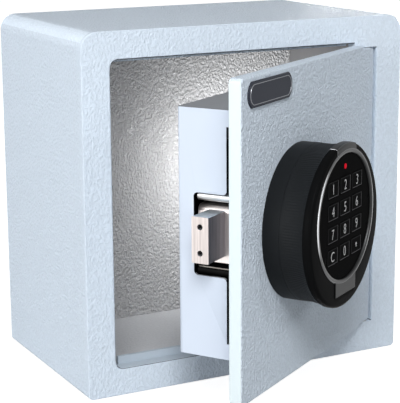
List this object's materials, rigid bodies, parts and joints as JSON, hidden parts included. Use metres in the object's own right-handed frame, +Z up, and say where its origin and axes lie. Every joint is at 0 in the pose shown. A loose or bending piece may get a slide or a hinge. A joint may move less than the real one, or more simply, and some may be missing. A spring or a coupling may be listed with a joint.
{
  "type": "electronic safe",
  "caption": "Small electronic safe with its door open: a hammered grey cabinet, a bolt box behind the door and a round turning knob that carries a round keypad.",
  "frame": {"origin": "centre of the cabinet's base face, on the surface that the safe stands on", "axes": "+Z up, the cabinet's front faces -Y, +X towards the hinge side; the door is stored open"},
  "size_m": [0.2, 0.2195, 0.2],
  "materials": {
    "hammered_paint": "orange-peel gloss paint",
    "smooth_paint": "smooth satin paint",
    "zinc_sheet": "bright zinc",
    "steel": "brushed",
    "black_steel": "blackened",
    "plate_black": "satin",
    "knob_plastic": "fine satin",
    "motor_plastic": "matte",
    "chrome": "polished",
    "keypad_plastic": "satin",
    "key_plastic": "satin with light printing",
    "lamp": "clear red",
    "board": "lacquered",
    "cell": "printed wrap"
  },
  "bodies": {
    "cabinet": {"cabinet_shell": "hammered_paint", "front_frame": "hammered_paint", "back_panel": "hammered_paint", "stop_top": "hammered_paint", "stop_bottom": "hammered_paint", "strike_bracket": "zinc_sheet", "hinge_lug_top": "hammered_paint", "hinge_lug_bottom": "hammered_paint", "hinge_pin_top": "steel", "hinge_pin_bottom": "steel", "hinge_washer": "steel"},
    "door": {"door_plate": "hammered_paint", "nameplate": "plate_black", "bolt_box": "smooth_paint", "box_posts": "zinc_sheet", "box_screws": "steel", "upper_guide": "zinc_sheet", "lower_guide": "black_steel", "lock_motor": "motor_plastic", "spindle_bush": "zinc_sheet", "knob_base": "knob_plastic", "base_screws": "steel"},
    "bolt": {"bolt_carrier": "steel", "bolt_block": "steel", "bolt_screws": "black_steel"},
    "lock_pin": {"locking_pin": "steel"},
    "knob": {"knob_barrel": "knob_plastic", "chrome_ring": "chrome", "keypad_panel": "keypad_plastic", "indicator_lamp": "lamp", "circuit_board": "board", "batteries": "cell", "spindle": "steel", "spindle_washer": "steel", "crank_disc": "steel", "crank_pin": "steel"},
    "key_1": {"key_1": "key_plastic"},
    "key_2": {"key_2": "key_plastic"},
    "key_3": {"key_3": "key_plastic"},
    "key_4": {"key_4": "key_plastic"},
    "key_5": {"key_5": "key_plastic"},
    "key_6": {"key_6": "key_plastic"},
    "key_7": {"key_7": "key_plastic"},
    "key_8": {"key_8": "key_plastic"},
    "key_9": {"key_9": "key_plastic"},
    "key_clear": {"key_clear": "key_plastic"},
    "key_0": {"key_0": "key_plastic"},
    "key_enter": {"key_enter": "key_plastic"}
  },
  "joints": [
    {"name": "door_hinge", "type": "hinge", "parent": "cabinet", "child": "door", "pos_m": [0.0784, -0.057, 0.1], "axis": [0, 0, 1], "range_deg": [-33.2, 66.8]},
    {"name": "knob_turn", "type": "hinge", "parent": "door", "child": "knob", "pos_m": [-0.0006, -0.11288, 0.1007], "axis": [0.5476, -0.8368, 0], "range_deg": [0, 90]},
    {"name": "bolt_slide", "type": "slide", "parent": "door", "child": "bolt", "axis": [-0.8368, -0.5476, 0], "range_m": [0, 0.012]},
    {"name": "lock_pin_slide", "type": "slide", "parent": "door", "child": "lock_pin", "axis": [0.5476, -0.8368, 0], "range_m": [0, 0.0035]},
    {"name": "key_1_press", "type": "slide", "parent": "knob", "child": "key_1", "axis": [-0.5476, 0.8368, 0], "range_m": [0, 0.0005], "stiffness_N_per_m": 400},
    {"name": "key_2_press", "type": "slide", "parent": "knob", "child": "key_2", "axis": [-0.5476, 0.8368, 0], "range_m": [0, 0.0005], "stiffness_N_per_m": 400},
    {"name": "key_3_press", "type": "slide", "parent": "knob", "child": "key_3", "axis": [-0.5476, 0.8368, 0], "range_m": [0, 0.0005], "stiffness_N_per_m": 400},
    {"name": "key_4_press", "type": "slide", "parent": "knob", "child": "key_4", "axis": [-0.5476, 0.8368, 0], "range_m": [0, 0.0005], "stiffness_N_per_m": 400},
    {"name": "key_5_press", "type": "slide", "parent": "knob", "child": "key_5", "axis": [-0.5476, 0.8368, 0], "range_m": [0, 0.0005], "stiffness_N_per_m": 400},
    {"name": "key_6_press", "type": "slide", "parent": "knob", "child": "key_6", "axis": [-0.5476, 0.8368, 0], "range_m": [0, 0.0005], "stiffness_N_per_m": 400},
    {"name": "key_7_press", "type": "slide", "parent": "knob", "child": "key_7", "axis": [-0.5476, 0.8368, 0], "range_m": [0, 0.0005], "stiffness_N_per_m": 400},
    {"name": "key_8_press", "type": "slide", "parent": "knob", "child": "key_8", "axis": [-0.5476, 0.8368, 0], "range_m": [0, 0.0005], "stiffness_N_per_m": 400},
    {"name": "key_9_press", "type": "slide", "parent": "knob", "child": "key_9", "axis": [-0.5476, 0.8368, 0], "range_m": [0, 0.0005], "stiffness_N_per_m": 400},
    {"name": "key_clear_press", "type": "slide", "parent": "knob", "child": "key_clear", "axis": [-0.5476, 0.8368, 0], "range_m": [0, 0.0005], "stiffness_N_per_m": 400},
    {"name": "key_0_press", "type": "slide", "parent": "knob", "child": "key_0", "axis": [-0.5476, 0.8368, 0], "range_m": [0, 0.0005], "stiffness_N_per_m": 400},
    {"name": "key_enter_press", "type": "slide", "parent": "knob", "child": "key_enter", "axis": [-0.5476, 0.8368, 0], "range_m": [0, 0.0005], "stiffness_N_per_m": 400}
  ],
  "couplings": [
    {"joint": "bolt_slide", "follows": "knob_turn", "m_per_rad": 0.0076394}
  ]
}
